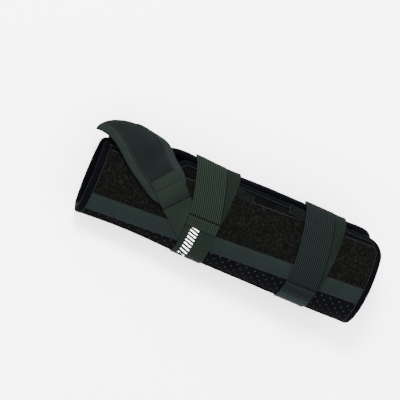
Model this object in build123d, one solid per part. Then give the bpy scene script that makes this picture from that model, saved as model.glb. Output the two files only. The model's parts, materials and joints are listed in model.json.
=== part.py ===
"""Wrist and forearm splint for a left arm, closed as worn, lying on its palm side.

+X runs towards the elbow, +Y towards the thumb side, +Z out of the back of the hand. Millimetres.
Every layer is the space between two offsets of one arm-shaped form, trimmed by an outline.
"""
from build123d import *
from functools import cache
import math
import os

# ---------------------------------------------------------------- driving sizes
LENGTH = 265.4                    # of the panels; the binding adds 0.8 at each end
HAND_END = -LENGTH / 2
ELBOW_END = LENGTH / 2
MID_HALF_DEPTH = 27.0
DEPTH_SLOPE = 14.0 / 267.0        # half depth gained per millimetre towards the elbow
SIDE_ROUNDNESS = 0.78             # side radius as a share of the half depth

# layer faces, as offsets outwards from the foam's outer face
BINDING_INSIDE = -5.0
LINER_INSIDE = -4.2
FOAM_INSIDE = -3.4
FOAM_OUTSIDE = 0.0
FACING = 0.9                      # outside of loop panel, pocket tape, margins and binding
HOOK_INSIDE = 1.2                 # a moving strap clears the facing by 0.3
HOOK_OUTSIDE = 2.0
TAB_OUTSIDE = 2.2
STRAP_OUTSIDE = 3.8
WEBBING_OUTSIDE = 2.6

RUNNING_GAP = 0.3                 # between the ends of pieces that move apart
BINDING_LAP = 6.0
BINDING_EDGE = 0.8

# outer plan of the form: x, y on the little-finger side, y on the thumb side
ARM_SIDES = [
    (-150.0, -42.5, 30.0),
    (-130.0, -41.2, 30.7),
    (-110.0, -40.2, 33.0),
    (-90.0, -39.7, 37.8),
    (-70.0, -39.9, 41.8),
    (-50.0, -40.8, 42.2),
    (-30.0, -41.7, 41.0),
    (10.0, -42.4, 41.2),
    (50.0, -43.0, 40.9),
    (90.0, -43.5, 40.2),
    (130.0, -43.2, 39.6),
    (170.0, -42.5, 39.0),
]
# the same for the form that the thumb pad follows, which swells round the thumb's root
THUMB_SIDES = [
    (-155.0, -42.5, 31.0),
    (-134.0, -41.8, 41.5),
    (-114.0, -40.8, 45.5),
    (-86.0, -39.7, 41.8),
    (-58.0, -40.5, 42.3),
    (-30.0, -41.5, 42.0),
]
THUMB_FLOOR = 6.0                 # lowest level of the pad's form

# the back half turns on a line beside the little-finger side, along the form's mid level
ULNAR_HINGE_Y = -46.8
PALMAR_RIM_RISE = 10.0            # thumb-side rim of the palm panel above the form's mid level
PALMAR_HAND_DROP = 9.0            # the same rim below the mid level beside the thumb
STRAP_END_RISE = 1.2              # free end of a strap above the mid level
GUSSET_BOTTOM = 10.0
GUSSET_EDGE_Y = -15.0

# dorsal facings: the stitched line between the thumb-side margin and the loop panel
SEAM_LINE = ((-133.0, 18.9), (133.0, 28.4))

# stays: flat aluminium bars in channels in the foam
STAY_THICKNESS = 1.4
STAY_DEPTH = 1.1                  # the bar's outer face lies this far under the foam's outer face
STAY_PLAY = 0.2
POCKET_MARGIN = 1.2               # tape each side of the bar
DORSAL_STAY = dict(width=12.7, length=236.0, start=(-118.0, -27.6), end=(118.0, -16.4), side=1)
PALMAR_STAY = dict(width=19.0, length=230.0, start=(-115.0, -1.0), end=(115.0, -1.0), side=-1)

# straps: x of both edges at the thumb side, at the seam and at the little-finger side
WRIST = dict(
    name="wrist", thumb_x=(-52.0, -7.5), seam_x=(-41.6, -12.2), end_x=(-40.4, -11.4), seam_y=-5.0, ribbed=28.8,
)
FOREARM = dict(
    name="forearm", thumb_x=(55.4, 96.0), seam_x=(62.4, 91.0), end_x=(61.8, 90.0), seam_y=-26.0, ribbed=27.6,
)
STRAP_SIDE_Y = 44.0               # the thumb-side and little-finger-side edges are given at this y
SEWN_LENGTH = 10.0
HOOK_REACH_Y = 24.0               # a strap's hook patch runs from here to its free end

# thumb strap, in plan
PAD_OUTLINE = [
    (-146.5, 33.4), (-135.7, 31.9), (-121.7, 23.6), (-105.5, 10.5), (-90.6, 1.2), (-72.9, -6.9),
    (-63.2, -5.5), (-51.5, 9.5), (-58.3, 23.1), (-72.2, 34.6), (-86.8, 44.0), (-103.0, 47.5),
    (-105.0, 60.0), (-131.0, 60.0), (-134.5, 46.0),
]
PAD_AXIS = ((-58.0, 2.0), (-121.0, 50.8))
PAD_END = ((-63.2, -5.5), (-51.5, 9.5))
PAD_RIM = 7.5
PAD_INSIDE = 2.1
PAD_OUTSIDE = 5.1
RIM_OUTSIDE = 5.7
PAD_END_LEVEL = 28.5              # lowest level of the pad's thumb end
ANCHOR_TOP = 37.0
ANCHOR_X = (-128.0, -107.0)
WEBBING = [(-85.2, 5.6), (-67.5, 25.6), (-46.6, 8.5), (-40.5, -1.0), (-40.5, -30.9)]
WEBBING_HINGE = ((-64.3, -11.5), (-46.6, 8.5))
WEBBING_TOP = 6.9                 # where it lies on the pad
WEBBING_STEP = 1.5                # plan thickness where it comes down off the pad
WEBBING_HINGE_RISE = 1.2          # above the webbing's outer face

FAR = 200.0                       # reaches past the whole splint
CENTRING = (6.5, -2.53, 0.0)      # brings the middle of the finished box onto the origin


# ---------------------------------------------------------------- the form
def half_depth(x):
    return MID_HALF_DEPTH + DEPTH_SLOPE * x


def mid_level(x):
    return half_depth(x) + FACING


def oval(x, sides, depth, level, offset):
    """Face bounded by four tangent arcs in the plane at x; an offset keeps the arc centres."""
    low, high = sides
    centre, half_width = (low + high) / 2, (high - low) / 2
    side = SIDE_ROUNDNESS * depth
    reach = half_width - side
    flat = (reach**2 + depth**2 - side**2) / (2 * (depth - side))
    turn = math.degrees(math.atan2(flat - depth, reach))
    plane = Plane(origin=(x, centre, level), x_dir=(0, 1, 0), z_dir=(1, 0, 0))
    arcs = [
        CenterArc((reach, 0), side + offset, -turn, 2 * turn),
        CenterArc((0, depth - flat), flat + offset, turn, 180 - 2 * turn),
        CenterArc((-reach, 0), side + offset, 180 - turn, 2 * turn),
        CenterArc((0, flat - depth), flat + offset, 180 + turn, 180 - 2 * turn),
    ]
    return plane * make_face(arcs)


@cache
def arm_form(offset):
    """The solid inside the arm's surface, pushed out by offset."""
    return loft([oval(x, (low, high), half_depth(x), mid_level(x), offset) for x, low, high in ARM_SIDES])


@cache
def thumb_form(offset):
    """The same for the surface that the thumb pad follows."""
    faces = []
    for x, low, high in THUMB_SIDES:
        top = mid_level(x) + half_depth(x)
        depth = (top - THUMB_FLOOR) / 2
        faces.append(oval(x, (low, high), depth, THUMB_FLOOR + depth, offset))
    return loft(faces)


@cache
def shell(form, inside, outside):
    return form(outside) - form(inside)


def layer(inside, outside, region, form=arm_form):
    return shell(form, inside, outside) & region


# ---------------------------------------------------------------- outlines
def block(x=(-FAR, FAR), y=(-FAR, FAR), z=(-FAR, FAR)):
    """Box from (low, high) ranges."""
    ranges = (x, y, z)
    size = [high - low for low, high in ranges]
    return Pos(*[(low + high) / 2 for low, high in ranges]) * Box(*size)


def plan(points):
    """Everything above and below an outline in the XY plane."""
    return extrude(Plane.XY.offset(-FAR / 2) * make_face(Polyline(*points, close=True)), FAR)


def side_view(face):
    """Everything to both sides of a face drawn in x and z."""
    upright = Plane(origin=(0, FAR, 0), x_dir=(1, 0, 0), z_dir=(0, -1, 0))
    return extrude(upright * face, 2 * FAR)


def levels(low, high):
    """Slab between two heights above the form's mid level, which rises towards the elbow."""
    corners = [(x, mid_level(x) + rise) for x, rise in ((-FAR, low), (FAR, low), (FAR, high), (-FAR, high))]
    return side_view(make_face(Polyline(*corners, close=True)))


def rounded(corners, radii):
    """Face from corners, with the given radius at each numbered corner."""
    face = make_face(Polyline(*corners, close=True))
    for number, radius in radii.items():
        vertex = face.vertices().sort_by_distance((*corners[number], 0))[0]
        face = fillet(vertex, radius)
    return face


def dorsal_outline(grow):
    """Back panel: plan up to its thumb-side edge, and above the hinge level."""
    corners = [
        (HAND_END - grow, -FAR),
        (HAND_END - grow, 27.0 + grow),
        (-64.0 - grow, 28.5 + grow),
        (-60.0 - grow, 36.8 + grow),
        (ELBOW_END + grow, 34.8 + grow),
        (ELBOW_END + grow, -FAR),
    ]
    radii = {1: max(4.0 + grow, 1.0), 2: 6.0, 3: 4.0, 4: 13.0 + grow}
    trimmed = extrude(Plane.XY.offset(-FAR / 2) * rounded(corners, radii), FAR)
    thumb_side = trimmed & block(y=(0, FAR)) & levels(PALMAR_RIM_RISE + BINDING_EDGE + RUNNING_GAP, FAR)
    return thumb_side + (trimmed & block(y=(-FAR, 0)) & levels(RUNNING_GAP / 2, FAR))


def palmar_outline(grow):
    """Palm panel: its thumb side is low beside the thumb and high along wrist and forearm."""
    hand_rim = mid_level(HAND_END) - PALMAR_HAND_DROP + grow
    corners = [
        (HAND_END - grow, -FAR),
        (HAND_END - grow, hand_rim),
        (-84.0, hand_rim + 2.0),
        (-50.0 - grow, mid_level(-50.0) + PALMAR_RIM_RISE + grow),
        (ELBOW_END + grow, mid_level(ELBOW_END) + PALMAR_RIM_RISE + grow),
        (ELBOW_END + grow, -FAR),
    ]
    radii = {1: 4.0, 2: 30.0, 3: 12.0, 4: 46.0 + grow}
    thumb_side = side_view(rounded(corners, radii)) & block(y=(0, FAR))
    ends = (HAND_END - grow, ELBOW_END + grow)
    return thumb_side + (block(x=ends, y=(-FAR, 0)) & levels(-FAR, -RUNNING_GAP / 2))


def bound_edges(outline):
    """Tape folded over a panel's edges: outside, inside and round the end."""
    ring = outline(BINDING_EDGE) - outline(-BINDING_LAP)
    return layer(BINDING_INSIDE, FACING, ring) - layer(LINER_INSIDE, FOAM_OUTSIDE, outline(0.0))


HAND_ZONE = block(x=(-FAR, HAND_END + BINDING_LAP))
ELBOW_ZONE = block(x=(ELBOW_END - BINDING_LAP, FAR))
MIDDLE_ZONE = block(x=(HAND_END + BINDING_LAP, ELBOW_END - BINDING_LAP))
THUMB_HALF = block(y=(0, FAR))


# ---------------------------------------------------------------- stays and their channels
def surface_point(x, y, side, offset=0.0):
    """Point of the form's outer face straight above or below (x, y)."""
    hits = arm_form(offset).find_intersection_points(Axis((x, y, mid_level(x)), (0, 0, side)))
    return max((point for point, normal in hits), key=lambda point: side * point.Z)


def stay_plane(stay):
    """Plane on the form's outer face: x along the bar, z outwards."""
    side = stay["side"]
    first, last = [surface_point(*stay[end], side) for end in ("start", "end")]
    middle = (first + last) / 2
    lean = stay["width"] / 2
    left, right = [surface_point(middle.X, middle.Y + step, side) for step in (lean, -lean)]
    along = (last - first).normalized()
    out = along.cross((left - right).normalized()) * side
    sink = surface_point(middle.X, middle.Y, side) - middle
    return Plane(origin=middle + sink * 0.5, x_dir=along, z_dir=out)


def stay_bar(stay):
    """Flat bar with round ends."""
    face = SlotOverall(stay["length"], stay["width"])
    low = -STAY_DEPTH - STAY_THICKNESS
    return extrude(stay_plane(stay).offset(low) * face, STAY_THICKNESS)


def stay_channel(stay):
    """Room for the bar, from its closed hand end out past the elbow end."""
    width = stay["width"] + 2 * STAY_PLAY
    start = -stay["length"] / 2 - STAY_PLAY
    low = -STAY_DEPTH - STAY_THICKNESS - STAY_PLAY
    high = -STAY_DEPTH + STAY_PLAY
    room = Box(LENGTH, width, high - low)
    return stay_plane(stay) * (Pos(start + LENGTH / 2, 0, (low + high) / 2) * room)


def pocket_edge(stay, y_side, x):
    """y of the pocket tape's edge at x."""
    (x0, y0), (x1, y1) = stay["start"], stay["end"]
    middle = y0 + (y1 - y0) * (x - x0) / (x1 - x0)
    return middle + y_side * (stay["width"] / 2 + POCKET_MARGIN)


def pocket_region(stay):
    corners = [(x, pocket_edge(stay, y_side, x)) for x, y_side in ((-FAR, -1), (-FAR, 1), (FAR, 1), (FAR, -1))]
    side = levels(0, FAR) if stay["side"] > 0 else levels(-FAR, 0)
    return plan(corners) & side


# ---------------------------------------------------------------- halves of the splint
def make_palmar_half():
    gusset = block(x=(HAND_END, ELBOW_END), y=(-FAR, GUSSET_EDGE_Y), z=(GUSSET_BOTTOM, FAR))
    outline = palmar_outline(0.0)
    panel = outline - gusset
    trimmed = (palmar_outline(-BINDING_LAP) & MIDDLE_ZONE) - gusset
    pocket = pocket_region(PALMAR_STAY)
    channel = stay_channel(PALMAR_STAY)
    binding = bound_edges(palmar_outline) - channel
    return {
        "palmar_liner": layer(LINER_INSIDE, FOAM_INSIDE, panel),
        "palmar_panel": layer(FOAM_INSIDE, FOAM_OUTSIDE, panel) - channel,
        "palmar_facing": layer(FOAM_OUTSIDE, FACING, trimmed - pocket),
        "palmar_stay_pocket": (trimmed & pocket & block(z=(0, GUSSET_BOTTOM))) - arm_form(FOAM_OUTSIDE) - channel,
        "palmar_hand_binding": binding & HAND_ZONE,
        "palmar_elbow_binding": binding & ELBOW_ZONE,
        "palmar_rim_binding": (binding & MIDDLE_ZONE) & THUMB_HALF,
        "ulnar_gusset": layer(LINER_INSIDE, FACING, outline & gusset & MIDDLE_ZONE),
        "ulnar_gusset_ends": layer(LINER_INSIDE, FOAM_OUTSIDE, (outline & gusset) - MIDDLE_ZONE),
        "thumb_anchor": make_thumb_anchor(),
    }


def make_thumb_anchor():
    """Strip sewn outside the palm panel that the thumb pad's hooks hold."""
    region = block(x=ANCHOR_X, y=(20.0, FAR), z=(THUMB_FLOOR, ANCHOR_TOP))
    return layer(-0.9, 1.0, region, thumb_form) - arm_form(FACING)


def make_dorsal_half():
    outline = dorsal_outline(0.0)
    trimmed = dorsal_outline(-BINDING_LAP) & MIDDLE_ZONE
    pocket = pocket_region(DORSAL_STAY)
    channel = stay_channel(DORSAL_STAY)
    binding = bound_edges(dorsal_outline) - channel
    tape_ends = [(x, pocket_edge(DORSAL_STAY, 0, x)) for x in (-FAR, FAR)]
    seam_side = plan([*extend(SEAM_LINE), (FAR, FAR), (-FAR, FAR)])
    thumb_side = plan([*tape_ends, (FAR, FAR), (-FAR, FAR)])
    uncovered = trimmed - pocket
    return {
        "dorsal_liner": layer(LINER_INSIDE, FOAM_INSIDE, outline),
        "dorsal_panel": layer(FOAM_INSIDE, FOAM_OUTSIDE, outline) - channel,
        "dorsal_thumb_margin": layer(FOAM_OUTSIDE, FACING, trimmed & seam_side),
        "dorsal_loop_panel": layer(FOAM_OUTSIDE, FACING, (uncovered & thumb_side) - seam_side),
        "dorsal_stay_pocket": layer(FOAM_OUTSIDE, FACING, trimmed & pocket),
        "dorsal_ulnar_margin": layer(FOAM_OUTSIDE, FACING, uncovered - thumb_side),
        "dorsal_hand_binding": binding & HAND_ZONE,
        "dorsal_elbow_binding": binding & ELBOW_ZONE,
        "dorsal_thumb_binding": (binding & MIDDLE_ZONE) & THUMB_HALF,
    }


def extend(line):
    """A straight line's points at both ends of the working space."""
    (x0, y0), (x1, y1) = line
    return [(x, y0 + (y1 - y0) * (x - x0) / (x1 - x0)) for x in (-FAR, FAR)]


# ---------------------------------------------------------------- straps
def strap_edge(strap, number):
    """Plan points of one long edge, from the thumb side to the little-finger side."""
    return [
        (strap["thumb_x"][number], FAR / 2),
        (strap["thumb_x"][number], STRAP_SIDE_Y),
        (strap["seam_x"][number], strap["seam_y"]),
        (strap["end_x"][number], -STRAP_SIDE_Y),
        (strap["end_x"][number], -FAR / 2),
    ]


def shifted(points, step):
    return [(x + step, y) for x, y in points]


def strap_plan(strap, spare=0.0):
    hand_edge, elbow_edge = strap_edge(strap, 0), strap_edge(strap, 1)
    return plan(shifted(hand_edge, -spare) + shifted(elbow_edge, spare)[::-1])


def ribbed_plan(strap):
    hand_edge = strap_edge(strap, 0)
    return plan(hand_edge + shifted(hand_edge, strap["ribbed"])[::-1])


def make_strap(strap):
    """Free part of a strap: ribbed elastic, plain band beside it and hook patch under it."""
    name = strap["name"]
    free = block(y=(strap["seam_y"] + RUNNING_GAP / 2, FAR)) & levels(STRAP_END_RISE, FAR)
    whole, ribbed = strap_plan(strap), ribbed_plan(strap)
    hook_zone = free & block(y=(HOOK_REACH_Y, FAR))
    return {
        f"{name}_elastic": layer(HOOK_OUTSIDE, STRAP_OUTSIDE, free & whole & ribbed),
        f"{name}_band": layer(HOOK_OUTSIDE, STRAP_OUTSIDE, (free & whole) - ribbed),
        f"{name}_hook": layer(HOOK_INSIDE, HOOK_OUTSIDE, hook_zone & strap_plan(strap, -2.0)),
    }


def make_strap_base(strap):
    """Part of a strap that stays on the back panel: smooth tab and the elastic's sewn end."""
    name = strap["name"]
    seam_y = strap["seam_y"] - RUNNING_GAP / 2
    fixed = block(y=(-FAR, seam_y)) & levels(RUNNING_GAP / 2, FAR) & strap_plan(strap)
    return {
        f"{name}_tab": layer(FACING, TAB_OUTSIDE, fixed),
        f"{name}_sewn_end": layer(TAB_OUTSIDE, STRAP_OUTSIDE, fixed & block(y=(seam_y - SEWN_LENGTH, FAR))),
    }


# ---------------------------------------------------------------- thumb strap
def beside(line, side):
    """Everything on one side of a plan line; side 1 is to the left of its direction."""
    (x0, y0), (x1, y1) = line
    along = Vector(x1 - x0, y1 - y0).normalized()
    across = Vector(-along.Y, along.X) * side
    start, end = Vector(x0, y0) - along * FAR, Vector(x1, y1) + along * FAR
    corners = [start, end, end + across * FAR, start + across * FAR]
    return plan([(corner.X, corner.Y) for corner in corners])


def moved_line(line, step):
    """The line shifted to the left of its direction."""
    (x0, y0), (x1, y1) = line
    length = math.hypot(x1 - x0, y1 - y0)
    dx, dy = -(y1 - y0) / length * step, (x1 - x0) / length * step
    return ((x0 + dx, y0 + dy), (x1 + dx, y1 + dy))


def make_thumb_strap():
    face = make_face(Polyline(*PAD_OUTLINE, close=True))
    whole = plan(PAD_OUTLINE) & block(z=(PAD_END_LEVEL, FAR))
    inner = extrude(Plane.XY.offset(-FAR / 2) * offset(face, -PAD_RIM), FAR)
    hand_side, elbow_side = beside(PAD_AXIS, 1), beside(PAD_AXIS, -1)
    centre = layer(PAD_INSIDE, PAD_OUTSIDE, whole & inner, thumb_form)
    rim = layer(PAD_INSIDE, RIM_OUTSIDE, whole - inner, thumb_form)
    patch = block(y=(34.0, FAR), z=(PAD_END_LEVEL, ANCHOR_TOP - 1.0), x=ANCHOR_X)
    free_side = beside(moved_line(WEBBING_HINGE, RUNNING_GAP / 2), 1)
    step = beside(PAD_END, -1) & beside(moved_line(PAD_END, -WEBBING_STEP), 1)
    webbing = layer(HOOK_INSIDE, WEBBING_OUTSIDE, plan(WEBBING) & free_side & levels(0, FAR))
    webbing += layer(HOOK_INSIDE, WEBBING_TOP, plan(WEBBING) & step & levels(0, FAR))
    covering = layer(RIM_OUTSIDE, WEBBING_TOP, plan(WEBBING) & whole, thumb_form)
    return {
        "thumb_pad": centre,
        "thumb_pad_hand_rim": rim & hand_side,
        "thumb_pad_elbow_rim": rim & elbow_side,
        "thumb_pad_hook": layer(1.3, PAD_INSIDE, whole & patch, thumb_form),
        "thumb_webbing": webbing - plan(PAD_OUTLINE),
        "thumb_webbing_top": covering,
    }


def make_webbing_base():
    fixed_side = beside(moved_line(WEBBING_HINGE, -RUNNING_GAP / 2), -1)
    region = (plan(WEBBING) & fixed_side & levels(0, FAR)) - strap_plan(WRIST, RUNNING_GAP)
    return {"thumb_webbing_base": layer(FACING, WEBBING_OUTSIDE, region)}


# ---------------------------------------------------------------- build and save
def make_parts():
    parts = make_palmar_half()
    parts |= make_dorsal_half()
    parts |= make_webbing_base()
    parts |= make_thumb_strap()
    for strap in (WRIST, FOREARM):
        parts |= make_strap_base(strap)
        parts |= make_strap(strap)
    parts["dorsal_stay"] = stay_bar(DORSAL_STAY)
    parts["palmar_stay"] = stay_bar(PALMAR_STAY)
    return {name: Pos(*CENTRING) * shape for name, shape in parts.items()}


if __name__ == "__main__":
    os.makedirs("parts", exist_ok=True)
    for name, shape in make_parts().items():
        export_step(shape, f"parts/{name}.step")
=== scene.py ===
"""Looks for the wrist splint: soft pieces, bindings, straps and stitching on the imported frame.

Shapes are worked out in millimetres on the same arm-shaped form as the CAD model, in three
numbers: x along the arm, l round it (0 on the crest of the back, growing towards the thumb) and
an offset outwards from the foam's outer face. point() turns them into metres in the frame.
"""
import json
import math
from collections import namedtuple
from functools import cache

import bmesh
import bpy
from mathutils import Matrix, Vector, noise


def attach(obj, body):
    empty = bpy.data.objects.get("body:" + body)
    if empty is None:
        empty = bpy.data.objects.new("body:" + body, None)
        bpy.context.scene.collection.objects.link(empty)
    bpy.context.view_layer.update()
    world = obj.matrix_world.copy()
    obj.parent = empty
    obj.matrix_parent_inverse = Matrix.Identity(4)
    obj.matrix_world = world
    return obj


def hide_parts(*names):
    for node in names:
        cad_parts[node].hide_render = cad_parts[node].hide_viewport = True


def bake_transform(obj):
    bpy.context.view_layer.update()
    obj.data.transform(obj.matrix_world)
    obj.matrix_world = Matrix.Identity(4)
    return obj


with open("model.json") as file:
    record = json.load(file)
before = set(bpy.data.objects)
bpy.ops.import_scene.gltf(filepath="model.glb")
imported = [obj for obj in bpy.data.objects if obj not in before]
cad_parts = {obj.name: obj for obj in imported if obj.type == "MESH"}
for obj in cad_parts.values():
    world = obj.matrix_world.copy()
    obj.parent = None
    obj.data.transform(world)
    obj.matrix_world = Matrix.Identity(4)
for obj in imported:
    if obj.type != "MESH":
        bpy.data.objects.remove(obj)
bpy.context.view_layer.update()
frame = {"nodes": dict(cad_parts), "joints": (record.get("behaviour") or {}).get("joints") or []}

# ---- sizes: outlines are the CAD model's, and offsets are within 0.3 mm of its layers
CENTRING = Vector((6.5, -2.53, 0.0))
LENGTH = 265.4
HAND_END, ELBOW_END = -LENGTH / 2, LENGTH / 2
MID_HALF_DEPTH, DEPTH_SLOPE = 27.0, 14.0 / 267.0
SIDE_ROUNDNESS = 0.78             # radius of the form's sides over its half depth
FACING, STRAP_INSIDE, STRAP_OUTSIDE = 0.9, 1.3, 3.6
TAB_INSIDE, TAB_OUTSIDE = 0.6, 2.2
FOAM_INSIDE, LINER_INSIDE, LINER_OUTSIDE = -3.6, -4.5, -3.4
RIM_RISE, HAND_RIM_LEVEL = 10.0, 12.0
HAND_CORNER, BACK_ELBOW_CORNER, PALM_ELBOW_CORNER = 4.0, 13.0, 46.0
BINDING_REACH = 5.5               # how far the edge tape comes in over a panel
ULNAR_HINGE_Y = -46.8
# the form's two sides: (x, y of the little-finger side, y of the thumb side)
ARM_SIDES = [
    (-150, -42.5, 30), (-130, -41.2, 30.7), (-110, -40.2, 33), (-90, -39.7, 37.8),
    (-70, -39.9, 41.8), (-50, -40.8, 42.2), (-30, -41.7, 41), (10, -42.4, 41.2),
    (50, -43, 40.9), (90, -43.5, 40.2), (130, -43.2, 39.6), (170, -42.5, 39),
]
# the same for the wider form that the thumb strap lies on, whose lowest level is raised
THUMB_SIDES = [
    (-155, -42.5, 31), (-134, -41.8, 41.5), (-114, -40.8, 45.5),
    (-86, -39.7, 41.8), (-58, -40.5, 42.3), (-30, -41.5, 42),
]
THUMB_FLOOR = 6.0
# straps: x of both edges at the thumb side, at the sewn seam and at the tab's end, the ribbed
# part's width, and where the end of the hook tape shows beside the strap
WRIST = dict(
    name="wrist", thumb_x=(-52.0, -7.5), seam_x=(-41.6, -12.2), end_x=(-40.4, -11.4),
    seam_y=-5.0, ribbed=28.8, hook_x=(-16.0, 8.0), hook_y=(24.5, 32.5),
)
FOREARM = dict(
    name="forearm", thumb_x=(55.4, 96.0), seam_x=(62.4, 91.0), end_x=(61.8, 90.0),
    seam_y=-26.0, ribbed=27.6, hook_x=(40.5, 60.0), hook_y=(27.5, 35.5),
)
STRAP_THUMB_Y = 44.0              # y where thumb_x and end_x are reached, on either side
RIB_COUNT, RIB_PITCH = 16, 1.85
# (x, y) lines across the back: the loop panel's seam and the middle of the stay's tape
SEAM_LINE = ((-133.0, 18.9), (133.0, 28.4))
BACK_TAPE = ((-118.0, -27.6), (118.0, -16.4))
BACK_TAPE_WIDTH = 15.1
PALM_TAPE_Y, PALM_TAPE_WIDTH = -1.0, 21.4
CHANNEL_PLAY, CHANNEL_REACH = 0.00015, 0.05  # in metres, round a stay and past its end


# ---- the form
Section = namedtuple("Section", "centre level depth side reach flat turn")


def spline(knots):
    """Natural cubic through (x, value) knots, as a function."""
    xs, ys = zip(*knots)
    n = len(xs)
    steps = [xs[i + 1] - xs[i] for i in range(n - 1)]
    upper, right = [0.0] * n, [0.0] * n
    for i in range(1, n - 1):
        pull = 6 * ((ys[i + 1] - ys[i]) / steps[i] - (ys[i] - ys[i - 1]) / steps[i - 1])
        pivot = 2 * (steps[i - 1] + steps[i]) - steps[i - 1] * upper[i - 1]
        upper[i] = steps[i] / pivot
        right[i] = (pull - steps[i - 1] * right[i - 1]) / pivot
    curve = [0.0] * n
    for i in range(n - 2, 0, -1):
        curve[i] = right[i] - upper[i] * curve[i + 1]

    def value(x):
        i = max(0, min(n - 2, sum(1 for knot in xs[1:-1] if x > knot)))
        a, b = (xs[i + 1] - x) / steps[i], (x - xs[i]) / steps[i]
        bend = (a**3 - a) * curve[i] + (b**3 - b) * curve[i + 1]
        return a * ys[i] + b * ys[i + 1] + bend * steps[i] ** 2 / 6

    return value


def half_depth(x):
    return MID_HALF_DEPTH + DEPTH_SLOPE * x


def mid_level(x):
    return half_depth(x) + FACING


class Form:
    """Arm-shaped surface whose sections are four tangent arcs: two flat ones and two sides."""

    def __init__(self, sides, floor=None):
        self.low = spline([(x, low) for x, low, high in sides])
        self.high = spline([(x, high) for x, low, high in sides])
        self.floor = floor
        self.known = {}

    def section(self, x):
        key = round(x, 3)
        if key not in self.known:
            low, high = self.low(x), self.high(x)
            top = mid_level(x) + half_depth(x)
            depth = half_depth(x) if self.floor is None else (top - self.floor) / 2
            side = SIDE_ROUNDNESS * depth
            reach = (high - low) / 2 - side
            flat = (reach**2 + depth**2 - side**2) / (2 * (depth - side))
            turn = math.atan2(flat - depth, reach)
            self.known[key] = Section((low + high) / 2, top - depth, depth, side, reach, flat, turn)
        return self.known[key]

    def quarter(self, x):
        """Arc length from the crest to the widest point."""
        cut = self.section(x)
        return cut.flat * (math.pi / 2 - cut.turn) + cut.side * cut.turn

    def angle(self, x, l):
        """Direction of the surface's normal at l, in the plane of the section."""
        cut = self.section(x)
        half = 2 * self.quarter(x)
        l = (l + half) % (2 * half) - half
        far = abs(l)
        top = cut.flat * (math.pi / 2 - cut.turn)
        if far < top:
            angle = math.pi / 2 - far / cut.flat
        elif far < top + 2 * cut.side * cut.turn:
            angle = cut.turn - (far - top) / cut.side
        else:
            angle = -cut.turn - (far - top - 2 * cut.side * cut.turn) / cut.flat
        return angle if l >= 0 else math.pi - angle

    def raw(self, x, l, offset):
        """Point in millimetres, before the whole model is centred."""
        cut = self.section(x)
        angle = self.angle(x, l)
        cos, sin = math.cos(angle), math.sin(angle)
        if abs(cos) > math.cos(cut.turn):
            hub, radius = (math.copysign(cut.reach, cos), 0.0), cut.side
        else:
            hub, radius = (0.0, math.copysign(1.0, sin) * (cut.depth - cut.flat)), cut.flat
        y = cut.centre + hub[0] + (radius + offset) * cos
        z = cut.level + hub[1] + (radius + offset) * sin
        return Vector((x, y, z))

    def point(self, x, l, offset=0.0):
        """Point in metres, in the frame."""
        return (self.raw(x, l, offset) + CENTRING) / 1000

    def normal(self, x, l):
        angle = self.angle(x, l)
        slope = DEPTH_SLOPE * (1 + math.sin(angle))
        return Vector((-slope * 0.9, math.cos(angle), math.sin(angle))).normalized()

    def l_where(self, x, wanted, low, high):
        """l between low and high at which wanted(point) changes sign."""
        start = wanted(self.raw(x, low, 0.0))
        for step in range(32):
            middle = (low + high) / 2
            if (wanted(self.raw(x, middle, 0.0)) > 0) == (start > 0):
                low = middle
            else:
                high = middle
        return (low + high) / 2

    def l_at_y(self, x, y):
        quarter = self.quarter(x)
        return self.l_where(x, lambda p: p.y - y, -quarter, quarter)

    def l_at_z(self, x, z, side):
        return self.l_where(x, lambda p: p.z - z, 0.0, side * 2 * self.quarter(x))


ARM = Form(ARM_SIDES)
THUMB = Form(THUMB_SIDES, THUMB_FLOOR)


# ---- small helpers
def lerp(a, b, t):
    return a + (b - a) * t


def smooth(a, b, x):
    t = max(0.0, min(1.0, (x - a) / (b - a)))
    return t * t * (3 - 2 * t)


def tabulated(rule):
    """The same rule of x, worked out every 2 mm only and straight in between."""
    known = cache(lambda step: rule(2.0 * step))

    def value(x):
        step = math.floor(x / 2)
        return lerp(known(step), known(step + 1), x / 2 - step)

    return value


def line_y(line, x):
    (x0, y0), (x1, y1) = line
    return y0 + (y1 - y0) * (x - x0) / (x1 - x0)


def wobble(x, l, size, seed=0.0):
    """Smooth noise from -1 to 1 over patches of the given size."""
    return noise.noise(Vector((x / size, l / size, seed)))


def new_piece(name, verts, faces, uvs, material):
    """Mesh object; uvs holds one (u, v) in metres per vertex."""
    mesh = bpy.data.meshes.new(name)
    mesh.from_pydata(verts, [], faces)
    mesh.materials.append(material)
    layer = mesh.uv_layers.new(name="cloth")
    for loop in mesh.loops:
        layer.data[loop.index].uv = uvs[loop.vertex_index]
    for polygon in mesh.polygons:
        polygon.use_smooth = True
    mesh.update()
    piece = bpy.data.objects.new(name, mesh)
    bpy.context.scene.collection.objects.link(piece)
    return piece


EDGE_POINTS = 5                   # along each round edge of a slab


def tape_loop(count, edge):
    """Closed section of a tape: (across 0-1, through 0-1) points with round edges."""
    turns = [math.pi * i / (EDGE_POINTS + 1) for i in range(1, EDGE_POINTS + 1)]
    loop = []
    for i in range(count + 1):
        loop.append((lerp(edge, 1 - edge, i / count), 1.0))
    for angle in turns:
        loop.append((1 - edge + edge * math.sin(angle), 0.5 + 0.5 * math.cos(angle)))
    for i in range(count + 1):
        loop.append((lerp(1 - edge, edge, i / count), 0.0))
    for angle in turns:
        loop.append((edge - edge * math.sin(angle), 0.5 - 0.5 * math.cos(angle)))
    return loop


def ring_faces(base, rings, size):
    """Faces of a capped tube of rings of points, numbered on from base."""
    faces = []
    for i in range(rings - 1):
        here, there = base + i * size, base + (i + 1) * size
        for k in range(size):
            n = (k + 1) % size
            faces.append((here + k, here + n, there + n, there + k))
    faces.append(tuple(base + k for k in range(size - 1, -1, -1)))
    faces.append(tuple(base + (rings - 1) * size + k for k in range(size)))
    return faces


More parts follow.
